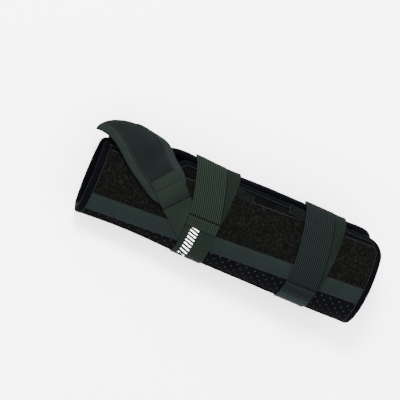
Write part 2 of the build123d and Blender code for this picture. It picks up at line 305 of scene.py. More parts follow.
def tube(name, rows, row_uvs, material):
    """Mesh from rows of equal closed loops of points."""
    verts = [point for row in rows for point in row]
    uvs = [uv for row in row_uvs for uv in row]
    return new_piece(name, verts, ring_faces(0, len(rows), len(rows[0])), uvs, material)


def slab(
    name, form, rows, columns, where, inside, outside, material, edge=0.01, end=0.01, width=None
):
    """Thick cloth with round edges.

    where(u, v) gives (x, l); inside(x, l, u, v) and outside(x, l, u, v) give its two offsets.
    edge and end are the shares of the width and length over which it rounds off.
    With a width, in mm, the texture runs straight along the piece instead of along the arm.
    """
    loop = tape_loop(columns, edge)
    ends = [end * t for t in (0.0, 0.1, 0.35, 1.0)]
    along = ends + [lerp(end, 1 - end, i / rows) for i in range(1, rows)]
    along += [1 - t for t in ends[::-1]]
    points, uvs = [], []
    for u in along:
        near = min(u, 1 - u) / end
        full = 1.0 if near >= 1 else 0.25 + 0.75 * math.sqrt(1 - (1 - near) ** 2)
        row, row_uv = [], []
        for v, w in loop:
            x, l = where(u, v)
            low, high = inside(x, l, u, v), outside(x, l, u, v)
            through = 0.5 + (w - 0.5) * full
            row.append(form.point(x, l, lerp(low, high, through)))
            row_uv.append(((x if width is None else v * width) / 1000, l / 1000))
        points.append(row)
        uvs.append(row_uv)
    return tube(name, points, uvs, material)


def inward(path, i):
    """Direction across a path at its point i, into the panel that it goes round."""
    before, after = path[max(i - 1, 0)], path[min(i + 1, len(path) - 1)]
    ahead = Vector((after[0] - before[0], after[1] - before[1])).normalized()
    return Vector((ahead.y, -ahead.x))


def inset_path(path, inset):
    moved = []
    for i, (x, l) in enumerate(path):
        across = inward(path, i)
        moved.append((x + across.x * inset, l + across.y * inset))
    return moved


def edge_tape(name, form, path, section, material):
    """Folded tape along an outline: path holds (x, l) points, section (inset, offset) points."""
    rows, uvs, run = [], [], 0.0
    for i, (x, l) in enumerate(path):
        across = inward(path, i)
        if i:
            run += (Vector(path[i]) - Vector(path[i - 1])).length
        row, row_uv, round_way = [], [], 0.0
        for k, (inset, offset) in enumerate(section):
            ripple = 0.12 * wobble(run, offset * 3, 5.0, 4.0)
            row.append(form.point(x + across.x * inset, l + across.y * inset, offset + ripple))
            if k:
                round_way += math.dist(section[k], section[k - 1])
            row_uv.append((run / 1000, round_way / 1000))
        rows.append(row)
        uvs.append(row_uv)
    return tube(name, rows, uvs, material)


def stitch_spots(path, pitch):
    """(place, direction) of each stitch along (x, l) points."""
    spots, carry = [], pitch / 2
    for a, b in zip(path, path[1:]):
        a, b = Vector(a), Vector(b)
        span = (b - a).length
        while carry < span:
            spots.append((a.lerp(b, carry / span), (b - a).normalized()))
            carry += pitch
        carry -= span
    return spots


STITCH_SIDES = 6
STITCH_RINGS = [(-0.5, 0.35), (-0.3, 0.9), (0.0, 1.0), (0.3, 0.9), (0.5, 0.35)]  # (along, thickness)


def stitch_row(name, form, path, offset, material, pitch=2.6, length=1.9, radius=0.28):
    """A row of thread stitches lying along (x, l) points."""
    verts, faces, uvs = [], [], []
    for spot, ahead in stitch_spots(path, pitch):
        faces += ring_faces(len(verts), len(STITCH_RINGS), STITCH_SIDES)
        out = form.normal(spot.x, spot.y)
        for share, thick in STITCH_RINGS:
            at = spot + ahead * share * length
            centre = form.point(at.x, at.y, offset - 0.5 * radius * (abs(share) * 2) ** 2)
            further = form.point(at.x + ahead.x, at.y + ahead.y, offset)
            across = (further - form.point(at.x, at.y, offset)).normalized().cross(out)
            for k in range(STITCH_SIDES):
                angle = math.tau * k / STITCH_SIDES
                spoke = across * math.cos(angle) + out * math.sin(angle)
                verts.append(centre + spoke * radius * thick / 1000)
                uvs.append((at.x / 1000, at.y / 1000))
    return new_piece(name, verts, faces, uvs, material)


def dress_edges(piece, columns, material):
    """Give the two long edges of a slab their own material."""
    piece.data.materials.append(material)
    half_ring = columns + 1 + EDGE_POINTS
    for polygon in piece.data.polygons:
        if polygon.index % half_ring >= columns:
            polygon.material_index = 1


def cut_channel(pieces, stay):
    """Cut the room a stay slides out through from the pieces round it."""
    joints = {joint["name"]: joint for joint in frame["joints"]}
    slide = Vector(joints[f"{stay}_slide"]["axis"])
    room = bmesh.new()
    room.from_mesh(frame["nodes"][stay].data)
    bmesh.ops.remove_doubles(room, verts=room.verts, dist=1e-6)
    room.normal_update()
    middle = sum((corner.co for corner in room.verts), Vector()) / len(room.verts)
    for corner in room.verts:
        ahead = (corner.co - middle).dot(slide) > 0
        corner.co += corner.normal * CHANNEL_PLAY + slide * (CHANNEL_REACH if ahead else 0.0)
    mesh = bpy.data.meshes.new("channel")
    room.to_mesh(mesh)
    room.free()
    cutter = bpy.data.objects.new("channel", mesh)
    bpy.context.scene.collection.objects.link(cutter)
    for piece in pieces:
        cut = piece.modifiers.new("channel", "BOOLEAN")
        cut.operation = "DIFFERENCE"
        cut.object = cutter
        cut.solver = "EXACT"
        bpy.context.view_layer.update()
        carved = piece.evaluated_get(bpy.context.evaluated_depsgraph_get())
        whole = piece.data
        piece.data = bpy.data.meshes.new_from_object(carved)
        piece.modifiers.clear()
        bpy.data.meshes.remove(whole)
    bpy.data.objects.remove(cutter)


# ---- materials
class Nodes:
    """Short calls for building a node material."""

    def __init__(self, name, roughness=0.9, sheen=0.0, specular=0.3, metallic=0.0):
        self.material = bpy.data.materials.new(name)
        self.material.use_nodes = True
        self.tree = self.material.node_tree
        self.shader = self.tree.nodes["Principled BSDF"]
        self.shader.inputs["Roughness"].default_value = roughness
        self.shader.inputs["Sheen Weight"].default_value = sheen
        self.shader.inputs["Sheen Roughness"].default_value = 0.5
        self.shader.inputs["Specular IOR Level"].default_value = specular
        self.shader.inputs["Metallic"].default_value = metallic

    def add(self, kind, **settings):
        node = self.tree.nodes.new(kind)
        for key, value in settings.items():
            setattr(node, key, value)
        return node

    def link(self, source, target):
        self.tree.links.new(source, target)

    def math(self, operation, *values):
        node = self.add("ShaderNodeMath", operation=operation)
        for socket, value in zip(node.inputs, values):
            if isinstance(value, (int, float)):
                socket.default_value = value
            else:
                self.link(value, socket)
        return node.outputs[0]

    def uv(self):
        split = self.add("ShaderNodeSeparateXYZ")
        self.link(self.add("ShaderNodeUVMap", uv_map="cloth").outputs[0], split.inputs[0])
        return split.outputs[0], split.outputs[1]

    def noise(self, size_mm, detail=2.0, roughness=0.6, stretch=None):
        """Noise in object space with features of about size_mm."""
        place = self.add("ShaderNodeTexCoord").outputs["Object"]
        if stretch:
            mapping = self.add("ShaderNodeMapping")
            mapping.inputs["Scale"].default_value = stretch
            self.link(place, mapping.inputs["Vector"])
            place = mapping.outputs[0]
        node = self.add("ShaderNodeTexNoise")
        node.inputs["Scale"].default_value = 1000.0 / size_mm
        node.inputs["Detail"].default_value = detail
        node.inputs["Roughness"].default_value = roughness
        self.link(place, node.inputs["Vector"])
        return node.outputs["Fac"]

    def ramp(self, factor, stops):
        node = self.add("ShaderNodeValToRGB")
        elements = node.color_ramp.elements
        while len(elements) < len(stops):
            elements.new(0.5)
        for element, (position, colour) in zip(elements, stops):
            element.position = position
            element.color = (*colour, 1.0)
        self.link(factor, node.inputs[0])
        return node.outputs[0]

    def mix(self, factor, a, b):
        node = self.add("ShaderNodeMix", data_type="RGBA")
        self.link(factor, node.inputs["Factor"])
        for socket, value in ((node.inputs[6], a), (node.inputs[7], b)):
            if isinstance(value, tuple):
                socket.default_value = (*value, 1.0)
            else:
                self.link(value, socket)
        return node.outputs[2]

    def finish(self, colour, height=None, bump=0.3, depth_mm=0.2):
        self.link(colour, self.shader.inputs["Base Color"])
        if height is not None:
            node = self.add("ShaderNodeBump")
            node.inputs["Strength"].default_value = bump
            node.inputs["Distance"].default_value = depth_mm / 1000
            self.link(height, node.inputs["Height"])
            self.link(node.outputs[0], self.shader.inputs["Normal"])
        return self.material


def wave(n, coordinate, pitch_mm):
    """0 to 1 sine of a UV coordinate."""
    angle = n.math("MULTIPLY", coordinate, math.tau * 1000 / pitch_mm)
    return n.math("MULTIPLY_ADD", n.math("SINE", angle), 0.5, 0.5)


def shade(colour, factor):
    return tuple(channel * factor for channel in colour)


def woven(name, colour, pitch_mm, contrast=0.25, roughness=0.85, specular=0.06, twill=0.0):
    """Plain or twill weave with slow colour drift and painted highlights on the thread crowns."""
    n = Nodes(name, roughness, 0.0, specular)
    u, v = n.uv()
    slanted = n.math("ADD", u, n.math("MULTIPLY", v, twill))
    threads = n.math("MULTIPLY", wave(n, slanted, pitch_mm), wave(n, v, pitch_mm))
    drift = n.noise(18, 3)
    fine = n.noise(0.8, 2)
    height = n.math("ADD", threads, n.math("MULTIPLY", fine, 0.35))
    base = n.ramp(drift, [(0.3, shade(colour, 1 - contrast)), (0.7, shade(colour, 1 + contrast))])
    # painted highlight: where the threads stand highest the colour is mixed towards a lighter copy of it
    highlighted_crowns = n.mix(n.math("MULTIPLY", threads, 0.5), base, shade(colour, 1.9))
    return n.finish(highlighted_crowns, height, 0.5, 0.25)


def napped(name, colour, light):
    """Fuzzy loop pile of clumps over fine fibres: painted shade where the pile is low, painted highlight
    where it is high, and darker patches at random.
    """
    n = Nodes(name, 1.0, 0.0, 0.005)
    clumps, fibres, patches = n.noise(2.2, 4, 0.7), n.noise(0.55, 3, 0.8), n.noise(14, 3)
    height = n.math("ADD", n.math("MULTIPLY", clumps, 0.8), n.math("MULTIPLY", fibres, 0.6))
    # painted shade and highlight: the colour follows the pile's height, dark where low and pale where high
    pile_shading = n.ramp(height, [(0.5, shade(colour, 0.45)), (0.72, colour), (0.95, light)])
    shading_and_patches = n.mix(n.math("MULTIPLY", patches, 0.5), pile_shading, shade(colour, 0.6))
    return n.finish(shading_and_patches, height, 0.9, 0.7)


def perforated(name, colour, dot, pitch_mm=8.4, radius_mm=0.55):
    """Smooth foam skin with staggered rows of small holes."""
    n = Nodes(name, 0.95, 0.0, 0.01)
    u, v = n.uv()
    row = n.math("FLOOR", n.math("DIVIDE", v, pitch_mm / 2000))
    stagger = n.math("MULTIPLY", n.math("MODULO", n.math("ABSOLUTE", row), 2.0), pitch_mm / 2000)
    across = n.math("PINGPONG", n.math("ADD", u, stagger), pitch_mm / 2000)
    along = n.math("SUBTRACT", n.math("FRACT", n.math("DIVIDE", v, pitch_mm / 2000)), 0.5)
    along = n.math("MULTIPLY", along, pitch_mm / 2000)
    distance = n.math("SQRT", n.math("ADD", n.math("POWER", across, 2.0), n.math("POWER", along, 2.0)))
    hole = n.math("MULTIPLY", n.math("LESS_THAN", distance, radius_mm / 1000), n.math("LESS_THAN", v, 0.0))
    fine = n.noise(0.7, 2)
    base = n.ramp(n.noise(20, 3), [(0.3, shade(colour, 0.75)), (0.7, shade(colour, 1.3))])
    height = n.math("SUBTRACT", n.math("MULTIPLY", fine, 0.25), hole)
    return n.finish(n.mix(hole, base, dot), height, 0.5, 0.3)


def ribbed(name, colour, pitch_mm):
    """Elastic with fine ribs along its length: painted shade as dark lines in the grooves between them,
    and painted highlights on the rib crowns and knit loops.
    """
    n = Nodes(name, 0.95, 0.0, 0.01)
    u, v = n.uv()
    rib = wave(n, u, pitch_mm)
    knit = n.math("MULTIPLY", wave(n, v, 0.9), n.noise(0.9, 2))
    # painted shade in the grooves between the ribs, painted highlight on their crowns
    stops = [(0.1, shade(colour, 0.15)), (0.45, shade(colour, 0.8)), (0.95, shade(colour, 1.5))]
    shaded_ribs = n.ramp(rib, stops)
    height = n.math("ADD", rib, n.math("MULTIPLY", knit, 0.3))
    # painted highlight: the knit's high points are mixed towards a lighter copy of the colour
    return n.finish(n.mix(n.math("MULTIPLY", knit, 0.35), shaded_ribs, shade(colour, 1.8)), height, 0.6, 0.35)


def thread(name, colour):
    """Twisted sewing thread."""
    n = Nodes(name, 0.75, 0.03, 0.08)
    strands = n.noise(0.5, 2, 0.6, (1.0, 3.0, 1.0))
    base = n.ramp(strands, [(0.35, shade(colour, 0.7)), (0.7, shade(colour, 1.2))])
    return n.finish(base, strands, 0.3, 0.1)


def brushed_metal(name):
    """Aluminium with fine scratches along its length."""
    n = Nodes(name, 0.38, 0.0, 0.5, 1.0)
    scratches = n.noise(0.6, 4, 0.6, (0.03, 1.0, 1.0))
    base = n.ramp(scratches, [(0.3, (0.13, 0.135, 0.14)), (0.7, (0.2, 0.205, 0.21))])
    return n.finish(base, scratches, 0.15, 0.05)


M = dict(
    foam=perforated("foam_skin", (0.0009, 0.0010, 0.0012), (0.0150, 0.0155, 0.0160)),
    liner=woven("liner_knit", (0.0014, 0.0014, 0.0016), 1.2),
    loop=napped("loop_pile", (0.0015, 0.0017, 0.00145), (0.0080, 0.0085, 0.0073)),
    tape=woven("pocket_tape", (0.0030, 0.0046, 0.0043), 0.9, 0.12, 0.8, 0.02),
    binding=woven("binding_tape", (0.0005, 0.0006, 0.0010), 0.8, 0.2, 0.85, 0.01),
    gusset=woven("gusset_knit", (0.0010, 0.0010, 0.0012), 1.4, 0.2, 0.9, 0.01),
    wrist_elastic=ribbed("wrist_elastic_ribs", (0.0042, 0.0064, 0.0048), RIB_PITCH),
    forearm_elastic=ribbed("forearm_elastic_ribs", (0.0032, 0.0042, 0.0041), RIB_PITCH),
    band=woven("plain_elastic", (0.0022, 0.0034, 0.0027), 0.8, 0.2, 0.85, 0.01),
    wrist_tab=woven("wrist_tab_cloth", (0.0026, 0.0044, 0.0033), 0.6, 0.12, 0.8, 0.02),
    forearm_tab=woven("forearm_tab_cloth", (0.0038, 0.0058, 0.0064), 0.6, 0.12, 0.8, 0.02),
    pad=woven("thumb_padding", (0.0023, 0.0031, 0.0030), 0.7, 0.2, 0.85, 0.01),
    rim=woven("thumb_rim", (0.0040, 0.0054, 0.0050), 0.8, 0.2, 0.85, 0.01),
    webbing=woven("webbing", (0.0034, 0.0050, 0.0040), 1.1, 0.2, 0.85, 0.01, 1.0),
    hook=napped("hook_tape", (0.0020, 0.0025, 0.0022), (0.0060, 0.0068, 0.0060)),
    thread=thread("thread", (0.0040, 0.0050, 0.0046)),
    dark_thread=thread("dark_thread", (0.0002, 0.0002, 0.0002)),
    pale_thread=thread("pale_thread", (0.012, 0.0125, 0.0125)),
    print=woven("printed_bars", (0.80, 0.81, 0.81), 0.6, 0.05, 0.8),
    metal=brushed_metal("stay_metal"),
)


# ---- outlines on the form
def corner_drop(x, end, radius):
    """How far an outline with a rounded corner has fallen back at x."""
    left = radius - abs(end - x)
    return radius - math.sqrt(max(radius**2 - left**2, 0.0)) if left > 0 else 0.0


def dorsal_edge_y(x):
    """y of the back half's thumb side edge: narrow beside the thumb, wide along the forearm."""
    straight = lerp(27.0, 29.5, (x - HAND_END) / 68)
    flared = lerp(36.8, 34.8, (x + 60) / (ELBOW_END + 60))
    y = lerp(straight, flared, smooth(-73, -58, x))
    return y - corner_drop(x, HAND_END, HAND_CORNER) - corner_drop(x, ELBOW_END, BACK_ELBOW_CORNER)


@cache
def dorsal_edge(x):
    return ARM.l_at_y(x, dorsal_edge_y(x))


@cache
def ulnar_top(x):
    """l of the back half's little-finger side edge."""
    return ARM.l_at_z(x, mid_level(x) + 0.4, -1)


@cache
def palmar_rim(x):
    """l of the palm half's thumb side edge: low beside the thumb, high along the forearm."""
    low = lerp(HAND_RIM_LEVEL, HAND_RIM_LEVEL + 2.5, (x - HAND_END) / 48)
    high = mid_level(x) + RIM_RISE
    z = lerp(low, high, smooth(-92, -44, x))
    z -= corner_drop(x, HAND_END, HAND_CORNER) + corner_drop(x, ELBOW_END, PALM_ELBOW_CORNER)
    return ARM.l_at_z(x, z, 1)


@cache
def palmar_end(x):
    """l of the palm half's little-finger side edge, counted on past the bottom."""
    return 4 * ARM.quarter(x) + ARM.l_at_z(x, mid_level(x) - 0.4, -1)


@cache
def gusset_bottom(x):
    """l where the palm half's facing ends and the gusset begins."""
    return 4 * ARM.quarter(x) + ARM.l_at_z(x, 10.0, -1)


def easing(count, size):
    """Steps from 0 towards size that start small, for going round a corner."""
    return [size * (1 - math.cos(math.pi / 2 * i / count)) for i in range(count)]


def outline(low, high):
    """(x, l) points round a panel: down the hand end, along one side, back up the elbow end."""
    count = int(LENGTH / 2)
    elbow_corner = PALM_ELBOW_CORNER + 1
    xs = [lerp(HAND_END, ELBOW_END, i / count) for i in range(count + 1)]
    straight = [x for x in xs if HAND_END + HAND_CORNER < x < ELBOW_END - elbow_corner]
    fine_hand = [HAND_END + step for step in easing(6, HAND_CORNER)]
    fine_elbow = [ELBOW_END - step for step in easing(20, elbow_corner)][::-1]
    side = [(x, high(x)) for x in fine_hand + straight + fine_elbow]
    start, end = low(HAND_END), low(ELBOW_END)
    hand = [(HAND_END, lerp(start, high(HAND_END), i / 24)) for i in range(24)]
    elbow = [(ELBOW_END, lerp(high(ELBOW_END), end, i / 30)) for i in range(1, 31)]
    return hand + side + elbow


# section of the folded tape: (inset from the edge, offset) from outside round to inside
BINDING_SECTION = [
    (6.4, 0.1), (6.2, 1.0), (5.2, 1.35), (3.2, 1.55), (1.4, 1.45), (0.1, 0.9), (-0.7, -0.2), (-1.0, -1.8),
    (-0.7, -3.6), (0.2, -4.7), (1.6, -5.0), (5.0, -5.0), (6.0, -4.8), (6.2, -3.8),
]


# ---- back half
WHOLE_LENGTH = (HAND_END, ELBOW_END)
INNER_LENGTH = (HAND_END + BINDING_REACH, ELBOW_END - BINDING_REACH)


def panel(name, low, high, inside, outside, material, rows=110, columns=40, ends=WHOLE_LENGTH, **more):
    """Slab on the arm form between two edges, each given as l for x."""
    def where(u, v):
        x = lerp(*ends, u)
        return x, lerp(low(x), high(x), v)

    return slab(name, ARM, rows, columns, where, inside, outside, material, **more)


def flat(value):
    """An offset that is the same everywhere."""
    return lambda x, l, u, v: value


def groove(v, share, width):
    """How far both long edges of a tape are drawn in by their stitching, from 0 to 1."""
    low, high = (v - share) / width, (v - 1 + share) / width
    return math.exp(-(low**2)) + math.exp(-(high**2))


@cache
def tape_low(x):
    return ARM.l_at_y(x, line_y(BACK_TAPE, x) - BACK_TAPE_WIDTH / 2)


@cache
def tape_high(x):
    return ARM.l_at_y(x, line_y(BACK_TAPE, x) + BACK_TAPE_WIDTH / 2)


@cache
def seam_l(x):
    return min(ARM.l_at_y(x, line_y(SEAM_LINE, x)), dorsal_edge(x) - BINDING_REACH)


def make_back_foam():
    def puckered(x, l, u, v):
        return 0.55 + 0.3 * wobble(x, l, 14, 1.0)

    columns = 40
    foam = panel(
        "back_foam", ulnar_top, dorsal_edge, flat(FOAM_INSIDE), puckered, M["foam"], columns=columns)
    dress_edges(foam, columns, M["binding"])
    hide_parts("dorsal_panel", "dorsal_ulnar_margin", "dorsal_thumb_margin")
    return foam


def make_liner(name, low, high, columns, node):
    liner = panel(
        name, low, high, flat(LINER_INSIDE), flat(LINER_OUTSIDE), M["liner"], columns=columns)
    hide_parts(node)
    return liner


def make_back_loop():
    def fuzz(x, l, u, v):
        return 1.25 + 0.28 * wobble(x, l, 2.6, 2.0) + 0.25 * wobble(x, l, 9.0, 3.0)

    loop = panel(
        "back_loop_panel", tape_high, seam_l, flat(0.2), fuzz, M["loop"], 200, 44, INNER_LENGTH,
        edge=0.02, end=0.006)
    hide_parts("dorsal_loop_panel")
    return loop


def make_back_pocket():
    def tape_top(x, l, u, v):
        ridge = 0.35 * math.sin(math.pi * v) ** 0.5 if 0 < v < 1 else 0.0
        return 1.25 + ridge - 0.35 * groove(v, 0.12, 0.03) + 0.1 * wobble(x, l, 11, 5.0)

    pocket = panel(
        "back_stay_pocket", tape_low, tape_high, flat(0.2), tape_top, M["tape"], 120, 36, INNER_LENGTH,
        edge=0.05, end=0.006)
    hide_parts("dorsal_stay_pocket")
    return pocket


def make_back_stitches():
    xs = [lerp(HAND_END + 6, ELBOW_END - 6, i / 120) for i in range(121)]
    seam = [(x, seam_l(x) + 0.6) for x in xs]
    rows = [stitch_row("back_seam_stitches", ARM, seam, 1.0, M["pale_thread"])]
    for letter, share in (("a", 0.12), ("b", 0.88)):
        path = [(x, lerp(tape_low(x), tape_high(x), share)) for x in xs]
        rows.append(stitch_row(f"tape_stitches_{letter}", ARM, path, 1.3, M["thread"]))
    edge = inset_path(outline(ulnar_top, dorsal_edge), 5.2)
    rows.append(stitch_row("back_binding_stitches", ARM, edge, 1.55, M["thread"]))
    return rows


def make_back():
    foam = make_back_foam()
    liner = make_liner("back_liner", ulnar_top, dorsal_edge, 40, "dorsal_liner")
    pieces = [foam, liner, make_back_loop(), make_back_pocket()]
    path = outline(ulnar_top, dorsal_edge)
    binding = edge_tape("back_binding", ARM, path, BINDING_SECTION, M["binding"])
    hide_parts("dorsal_hand_binding", "dorsal_thumb_binding", "dorsal_elbow_binding")
    pieces += [binding] + make_back_stitches()
    cut_channel((foam, binding), "dorsal_stay")
    return pieces


# ---- palm half
def palm_l(x, y):
    """l on the underside at y."""
    quarter = ARM.quarter(x)
    return ARM.l_where(x, lambda p: y - p.y, quarter, 3 * quarter)


def make_palm_foam():
    foam = panel(
        "palm_foam", palmar_rim, palmar_end, flat(FOAM_INSIDE), flat(0.3), M["foam"], columns=60)
    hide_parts("palmar_panel")
    return foam


def make_palm_facing():
    def rim_inside(x):
        return palmar_rim(x) + BINDING_REACH

    def fuzz(x, l, u, v):
        return 0.85 + 0.12 * wobble(x, l, 2.6, 7.0)

    facing = panel(
        "palm_facing", rim_inside, gusset_bottom, flat(0.1), fuzz, M["loop"], 160, 70, INNER_LENGTH,
        end=0.006)
    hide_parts("palmar_facing")
    return facing


def make_palm_pocket():
    """Tape whose outer face is flat, because the splint rests on it."""
    high = tabulated(lambda x: palm_l(x, PALM_TAPE_Y + PALM_TAPE_WIDTH / 2))
    low = tabulated(lambda x: palm_l(x, PALM_TAPE_Y - PALM_TAPE_WIDTH / 2))

    def pocket_top(x, l, u, v):
        return 0.95 + ARM.raw(x, l, 0.0).z - FACING - 0.3 * groove(v, 0.1, 0.025)

    pocket = panel(
        "palm_stay_pocket", high, low, flat(0.1), pocket_top, M["tape"], 120, 36, INNER_LENGTH,
        edge=0.04, end=0.006)
    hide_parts("palmar_stay_pocket")
    return pocket


def make_palm():
    foam = make_palm_foam()
    liner = make_liner("palm_liner", palmar_rim, palmar_end, 60, "palmar_liner")
    facing, pocket = make_palm_facing(), make_palm_pocket()
    path = outline(gusset_bottom, palmar_rim)[::-1]
    binding = edge_tape("palm_binding", ARM, path, BINDING_SECTION, M["binding"])
    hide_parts("palmar_hand_binding", "palmar_rim_binding", "palmar_elbow_binding")
    cut_channel((foam, facing, pocket, binding), "palmar_stay")
    return [foam, liner, facing, pocket, binding]


def make_gusset():
    """Stretch fabric over the fold: it runs on past the hinge line."""
    def bottom(x):
        return gusset_bottom(x) - 1.0

    @cache
    def top(x):
        return 4 * ARM.quarter(x) + ARM.l_at_z(x, mid_level(x) + 7.0, -1)

    def ribs(x, l, u, v):
        return 1.15 + 0.18 * math.sin(l * math.tau / 2.4)

    skin = panel(
        "ulnar_gusset_skin", bottom, top, flat(-0.4), ribs, M["gusset"], 120, 90, edge=0.03, end=0.006)
    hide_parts("ulnar_gusset", "ulnar_gusset_ends")
    fold = Vector((0.0, ULNAR_HINGE_Y, mid_level(0.0))) + CENTRING
    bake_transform(skin)


# ---- straps
def strap_x(strap, number, y):
    """x of a strap's hand edge (number 0) or elbow edge (1) at y."""
    if y >= strap["seam_y"]:
        t = min(1.0, (y - strap["seam_y"]) / (STRAP_THUMB_Y - strap["seam_y"]))
        return lerp(strap["seam_x"][number], strap["thumb_x"][number], t)
    t = min(1.0, (strap["seam_y"] - y) / (STRAP_THUMB_Y + strap["seam_y"]))
    return lerp(strap["seam_x"][number], strap["end_x"][number], t)


def strap_edges(strap):
    """x for y of a strap's hand edge, of the line between ribs and band, and of its elbow edge."""
    def hand_edge(y):
        return strap_x(strap, 0, y)

    def elbow_edge(y):
        return strap_x(strap, 1, y)

    def rib_edge(y):
        return min(hand_edge(y) + strap["ribbed"], elbow_edge(y) - 0.6)

    return hand_edge, rib_edge, elbow_edge


def strap_where(strap, l_start, l_end, x_low, x_high):
    """where() for a piece of a strap: u along it, v across it from x_low(y) to x_high(y)."""
    middle = sum(strap["seam_x"]) / 2

    def where(u, v):
        x = middle
        for again in range(4):
            l = lerp(l_start(x), l_end(x), u)
            y = ARM.raw(x, l, 0.0).y
            x = lerp(x_low(y), x_high(y), v)
        return x, lerp(l_start(x), l_end(x), u)

    return where


def elastic_ribs(x, l, u, v):
    """Outer face of the ribbed elastic."""
    rib = 0.3 * abs(math.sin(math.pi * RIB_COUNT * v))
    return STRAP_OUTSIDE - 0.25 + rib + 0.15 * wobble(x, l, 12, 8.0)


def make_ribbed(name, strap, rows, start, finish, inside, end):
    """Length of ribbed elastic between two lines across its strap."""
    hand_edge, rib_edge, elbow_edge = strap_edges(strap)
    where = strap_where(strap, start, finish, hand_edge, rib_edge)
    material = M[strap["name"] + "_elastic"]
    return slab(
        name, ARM, rows, RIB_COUNT * 6, where, flat(inside), elastic_ribs, material,
        edge=0.02, end=end, width=RIB_COUNT * RIB_PITCH)


def make_strap(strap):
    """The part of a strap that lifts off and swings on its sewn seam."""
    name = strap["name"]
    hand_edge, rib_edge, elbow_edge = strap_edges(strap)
    seam = tabulated(lambda x: ARM.l_at_y(x, strap["seam_y"] + 0.3))
    tip = tabulated(lambda x: ARM.l_at_z(x, mid_level(x) + 1.2, 1))

    def plain(x, l, u, v):
        return STRAP_OUTSIDE - 0.5 + 0.15 * wobble(x, l, 9, 9.0)

    elastic = make_ribbed(f"{name}_elastic_ribs", strap, 80, seam, tip, STRAP_INSIDE, 0.012)
    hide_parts(f"{name}_elastic", f"{name}_hook")
    band = slab(
        f"{name}_plain_band", ARM, 80, 24, strap_where(strap, seam, tip, rib_edge, elbow_edge),
        flat(STRAP_INSIDE), plain, M["band"], edge=0.05, end=0.012)
    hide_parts(f"{name}_band")
    hook_end = slab(
        f"{name}_hook_end", ARM, 20, 16, hook_end_where(strap), flat(1.2), flat(2.1), M["hook"],
        edge=0.06, end=0.06)
    rim = stitch_row(
        f"{name}_hook_end_edge", ARM, hook_end_outline(strap), 1.9, M["pale_thread"],
        pitch=1.6, length=1.8, radius=0.22)
    for piece in (elastic, band, hook_end, rim):
        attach(piece, f"{name}_strap")


def hook_end_where(strap):
    """The tape under a strap's free part, which shows a little beside the strap."""
    (x0, x1), (y0, y1) = strap["hook_x"], strap["hook_y"]

    def where(u, v):
        x = lerp(x0, x1, u)
        return x, ARM.l_at_y(x, lerp(y0, y1, v) + 0.12 * (x0 - x))

    return where


def hook_end_outline(strap):
    """(x, l) points along the tape's visible edges."""
    where = hook_end_where(strap)
    end = 0.04 if strap["name"] == "forearm" else 0.96
    along = [(lerp(1 - end, end, i / 12), 0.05) for i in range(12)]
    across = [(end, lerp(0.05, 0.95, i / 8)) for i in range(8)]
    back = [(lerp(end, 1 - end, i / 12), 0.95) for i in range(13)]
    return [where(u, v) for u, v in along + across + back]


def make_tab(strap, seam):
    """Smooth tab that goes over the little-finger side, slightly raised along its edges."""
    name = strap["name"]
    hand_edge, rib_edge, elbow_edge = strap_edges(strap)

    def smooth_top(x, l, u, v):
        return TAB_OUTSIDE + 0.1 * wobble(x, l, 14, 10.0) + 0.2 * groove(v, 0.07, 0.03)

    tab = slab(
        f"{name}_smooth_tab", ARM, 60, 40,
        strap_where(strap, seam, tabulated(ulnar_top), hand_edge, elbow_edge),
        flat(TAB_INSIDE), smooth_top, M[f"{name}_tab"], edge=0.03)
    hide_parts(f"{name}_tab")
    return tab


def make_end_stitches(strap, number, back):
    """Stitches across the elastic's sewn end."""
    hand_edge, rib_edge, elbow_edge = strap_edges(strap)
    y = strap["seam_y"] - back
    xs = [lerp(hand_edge(y) + 1.2, rib_edge(y) - 1.2, i / 20) for i in range(21)]
    path = [(x, ARM.l_at_y(x, y)) for x in xs]
    name = strap["name"] + f"_end_stitches_{number}"
    return stitch_row(name, ARM, path, STRAP_OUTSIDE + 0.1, M["thread"])


def make_strap_base(strap):
    """The part of a strap that stays on the back half."""
    name, seam_y = strap["name"], strap["seam_y"]
    seam = tabulated(lambda x: ARM.l_at_y(x, seam_y - 0.3))
    sewn = tabulated(lambda x: ARM.l_at_y(x, seam_y - 10.0))
    pieces = [make_tab(strap, seam)]
    pieces.append(make_ribbed(f"{name}_elastic_end", strap, 16, seam, sewn, 2.0, 0.05))
    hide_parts(f"{name}_sewn_end")
    for number, back in enumerate((2.0, 8.0)):
        pieces.append(make_end_stitches(strap, number, back))
    if name == "wrist":
        pieces.append(make_printed_bars())
    for piece in pieces:
        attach(piece, "dorsal_half")


BAR_X, BAR_Y, BAR_COUNT = -35.4, (-14.0, -38.0), 9
BAR_CORNERS = ((0.0, 0.0), (0.0, 1.1), (7.6, 3.3), (7.6, 2.2))  # across the tab, down along it


def make_printed_bars():
    """A row of plain slanted bars printed along the wrist strap's smooth tab."""
    verts, faces, uvs = [], [], []
    for number in range(BAR_COUNT):
        y = lerp(*BAR_Y, number / (BAR_COUNT - 1))
        base = len(verts)
        for across, down in BAR_CORNERS:
            x = BAR_X + across
            l = ARM.l_at_y(x, y - down)
            verts.append(ARM.point(x, l, TAB_OUTSIDE + 0.25))
            uvs.append((x / 1000, l / 1000))
        faces.append(tuple(range(base, base + 4)))
    return new_piece("wrist_printed_bars", verts, faces, uvs, M["print"])


# ---- thumb strap
@cache
def path_splines(points):
    """x and l of a smooth line through (x, l) points, as functions of t from 0 to 1."""
    spans = [math.dist(a, b) for a, b in zip(points, points[1:])]
    total, marks = sum(spans), [0.0]
    for span in spans:
        marks.append(marks[-1] + span / total)
    return [spline([(mark, point[k]) for mark, point in zip(marks, points)]) for k in (0, 1)]


def path_at(points, t):
    return [coordinate(t) for coordinate in path_splines(points)]


def thumb_points(plan, end_x, end_level):
    """(x, l) points on the thumb form from plan points, plus one down on its side."""
    points = [(x, THUMB.l_at_y(x, y)) for x, y in plan]
    points.append((end_x, THUMB.l_at_z(end_x, end_level, 1)))
    return tuple(points)


